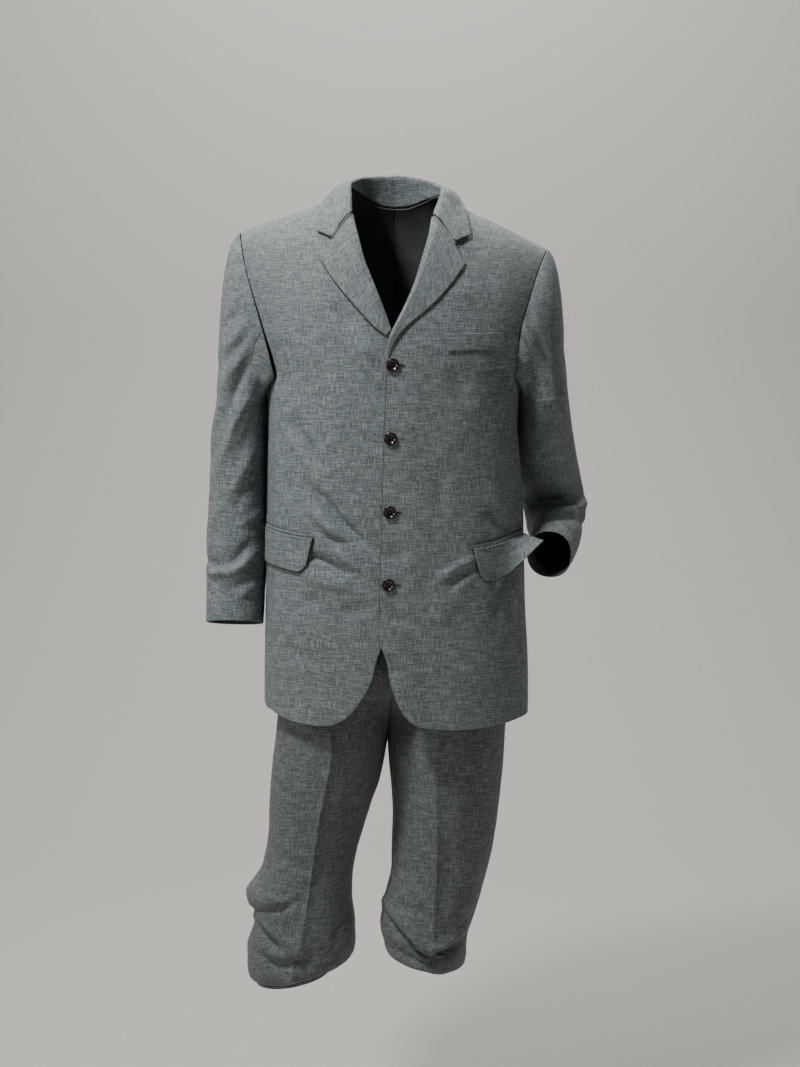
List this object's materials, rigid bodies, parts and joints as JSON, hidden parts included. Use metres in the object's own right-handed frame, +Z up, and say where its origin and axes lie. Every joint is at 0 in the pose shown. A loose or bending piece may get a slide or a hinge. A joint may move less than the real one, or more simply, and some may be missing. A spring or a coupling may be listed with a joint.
{
  "type": "knickerbocker suit",
  "caption": "Buttoned notch-lapel jacket with flap pockets over full knee-length breeches on knee bands, hollow as worn.",
  "frame": {"origin": "middle of the neck opening, level with the points where shoulder seam and collar meet", "axes": "+Z up the body, -Y out of the front, +X towards the wearer's left"},
  "size_m": [0.6113, 0.3094, 1.2891],
  "materials": {
    "suiting": "matt worsted with a faint sheen",
    "suiting_shaded": "the same cloth on side, back and band pieces",
    "button": "polished horn look"
  },
  "bodies": {
    "root": {"jacket_front_r": "suiting", "jacket_front_l": "suiting", "jacket_side_r": "suiting_shaded", "jacket_side_l": "suiting_shaded", "jacket_back_r": "suiting", "jacket_back_l": "suiting", "topsleeve_r": "suiting", "topsleeve_l": "suiting", "undersleeve_r": "suiting_shaded", "undersleeve_l": "suiting_shaded", "collar": "suiting", "lapel_r": "suiting", "lapel_l": "suiting", "breast_welt": "suiting", "pocket_flap_r": "suiting", "pocket_flap_l": "suiting", "pocket_jet_r": "suiting_shaded", "pocket_jet_l": "suiting_shaded", "front_button_1": "button", "front_button_2": "button", "front_button_3": "button", "front_button_4": "button", "cuff_button_r1": "button", "cuff_button_r2": "button", "cuff_button_r3": "button", "cuff_button_l1": "button", "cuff_button_l2": "button", "cuff_button_l3": "button", "trouser_front_r": "suiting", "trouser_front_l": "suiting", "trouser_back_r": "suiting_shaded", "trouser_back_l": "suiting_shaded", "knee_band_r": "suiting_shaded", "knee_band_l": "suiting_shaded", "waistband": "suiting_shaded"}
  },
  "joints": []
}
